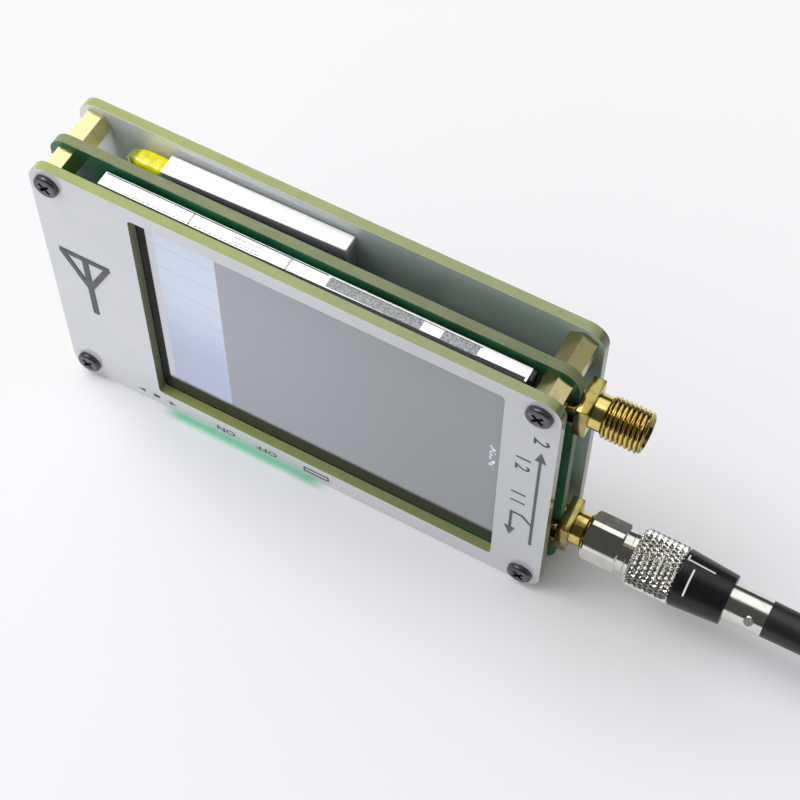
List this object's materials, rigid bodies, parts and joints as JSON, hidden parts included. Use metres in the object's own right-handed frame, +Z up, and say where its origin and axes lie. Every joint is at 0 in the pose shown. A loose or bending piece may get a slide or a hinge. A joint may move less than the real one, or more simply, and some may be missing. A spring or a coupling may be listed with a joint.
{
  "type": "antenna analyzer",
  "caption": "Hand-held antenna analyzer of stacked circuit boards on hexagon standoffs, with a colour screen, battery, slide and jog switches, coaxial jacks and a test lead.",
  "frame": {"origin": "middle of the analyzer without its lead, on the surface that it stands on", "axes": "+X along the boards towards the coaxial jacks, +Y from the screen towards the back plate, +Z up; it stands on its long edges with the slide and jog switches underneath"},
  "size_m": [0.2711, 0.0458, 0.054],
  "materials": {
    "white_board": "satin white solder mask on glass-fibre board",
    "green_board": "glossy green solder mask",
    "brass": "turned",
    "black_screw": "black plated",
    "touch_glass": "gloss",
    "display_metal": "brushed",
    "display_cell": "gloss",
    "diffuser": "milky",
    "foam": "matt foam",
    "flex": "amber film",
    "gold_plate": "gold plated",
    "white_insulator": "waxy",
    "pouch": "satin foil",
    "amber_tape": "amber tape",
    "cream_plastic": "moulded",
    "wire_skin": "smooth",
    "steel": "stamped",
    "black_plastic": "moulded",
    "chip": "moulded",
    "tin": "tinned",
    "ferrite": "matt",
    "capacitor": "matt",
    "resistor": "matt",
    "led_lens": "clear lens",
    "nickel": "nickel plated",
    "black_barrel": "satin black",
    "black_rubber": "smooth"
  },
  "bodies": {
    "chassis": {"front_plate": "white_board", "back_plate": "white_board", "main_board": "green_board", "front_standoffs": "brass", "rear_standoffs": "brass", "front_screws": "black_screw", "rear_screws": "black_screw", "touch_panel": "touch_glass", "display_frame": "display_metal", "display_cell": "display_cell", "display_backlight": "diffuser", "display_tape": "foam", "display_ribbon": "flex", "upper_jack_body": "gold_plate", "lower_jack_body": "gold_plate", "jack_insulators": "white_insulator", "jack_contacts": "gold_plate", "battery_cell": "pouch", "battery_board": "amber_tape", "battery_pad": "foam", "battery_socket": "cream_plastic", "battery_plug": "cream_plastic", "battery_wires": "wire_skin", "usb_shell": "steel", "usb_tongue": "black_plastic", "power_switch_body": "steel", "jog_switch_body": "black_plastic", "controller_chip": "chip", "codec_chip": "chip", "charger_chip": "chip", "clock_chip": "chip", "mixer_chips": "chip", "chip_leads": "tin", "rf_shield": "tin", "crystals": "steel", "inductor": "ferrite", "capacitors": "capacitor", "resistors": "resistor", "status_leds": "led_lens", "lead_plug": "nickel", "lead_barrel": "black_barrel", "lead_sleeve": "nickel", "lead_boot": "black_rubber", "lead_cable": "black_rubber", "lead_hank": "black_rubber", "lead_ties": "black_rubber", "lead_tail": "black_rubber", "far_boot": "black_rubber", "far_plug": "nickel"},
    "power_slider": {"power_slider": "black_plastic"},
    "jog_plunger": {"jog_plunger": "cream_plastic"},
    "jog_lever": {"jog_lever": "black_plastic"},
    "lead_nut": {"lead_nut": "nickel"},
    "knurled_ring": {"knurled_ring": "nickel"},
    "far_nut": {"far_nut": "nickel"}
  },
  "joints": [
    {"name": "power_slide", "type": "slide", "parent": "chassis", "child": "power_slider", "axis": [1, 0, 0], "range_m": [0, 0.002]},
    {"name": "jog_press", "type": "slide", "parent": "chassis", "child": "jog_plunger", "axis": [0, 0, 1], "range_m": [0, 0.0005], "stiffness_N_per_m": 600},
    {"name": "jog_rock", "type": "hinge", "parent": "jog_plunger", "child": "jog_lever", "pos_m": [-0.03185, 0.0016, 0.0043], "axis": [0, 1, 0], "range_deg": [-10, 10], "stiffness_Nm_per_rad": 0.001},
    {"name": "lead_nut_spin", "type": "hinge", "parent": "chassis", "child": "lead_nut", "pos_m": [0.04908, -0.0002, 0.011], "axis": [1, 0, 0], "continuous": true},
    {"name": "knurled_ring_spin", "type": "hinge", "parent": "chassis", "child": "knurled_ring", "pos_m": [0.05208, -0.0002, 0.011], "axis": [1, 0, 0], "continuous": true},
    {"name": "far_nut_spin", "type": "hinge", "parent": "chassis", "child": "far_nut", "pos_m": [0.07924, 0.032, 0.0041], "axis": [1, 0, 0], "continuous": true}
  ]
}
